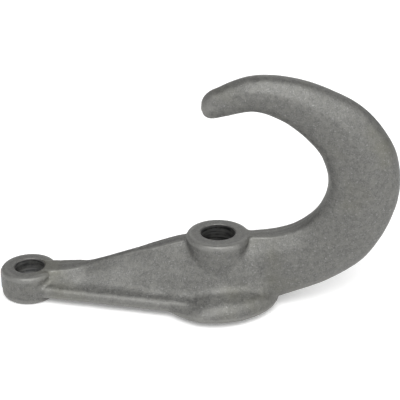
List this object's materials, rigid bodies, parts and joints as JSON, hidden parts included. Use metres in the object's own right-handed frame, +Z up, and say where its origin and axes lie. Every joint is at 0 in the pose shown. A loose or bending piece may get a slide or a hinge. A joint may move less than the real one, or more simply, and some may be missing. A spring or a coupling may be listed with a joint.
{
  "type": "bolt-on safety chain hook",
  "caption": "One-piece forged steel hook with a bolt boss on a round foot and a tail eye, bolted flat to a frame to hold a safety chain.",
  "frame": {"origin": "where the main bolt's axis meets the mounting plane, at the centre of the foot's underside", "axes": "+Z up the bolts, away from the mounting plane; +X from the tail eye towards the bend of the hook; the hook is symmetric about Y = 0"},
  "size_m": [0.2363, 0.077, 0.1412],
  "materials": {
    "forged_steel": "bare drop-forged steel, shot-blasted to a fine dull grey grain"
  },
  "bodies": {
    "root": {"hook_forging": "forged_steel"}
  },
  "joints": []
}
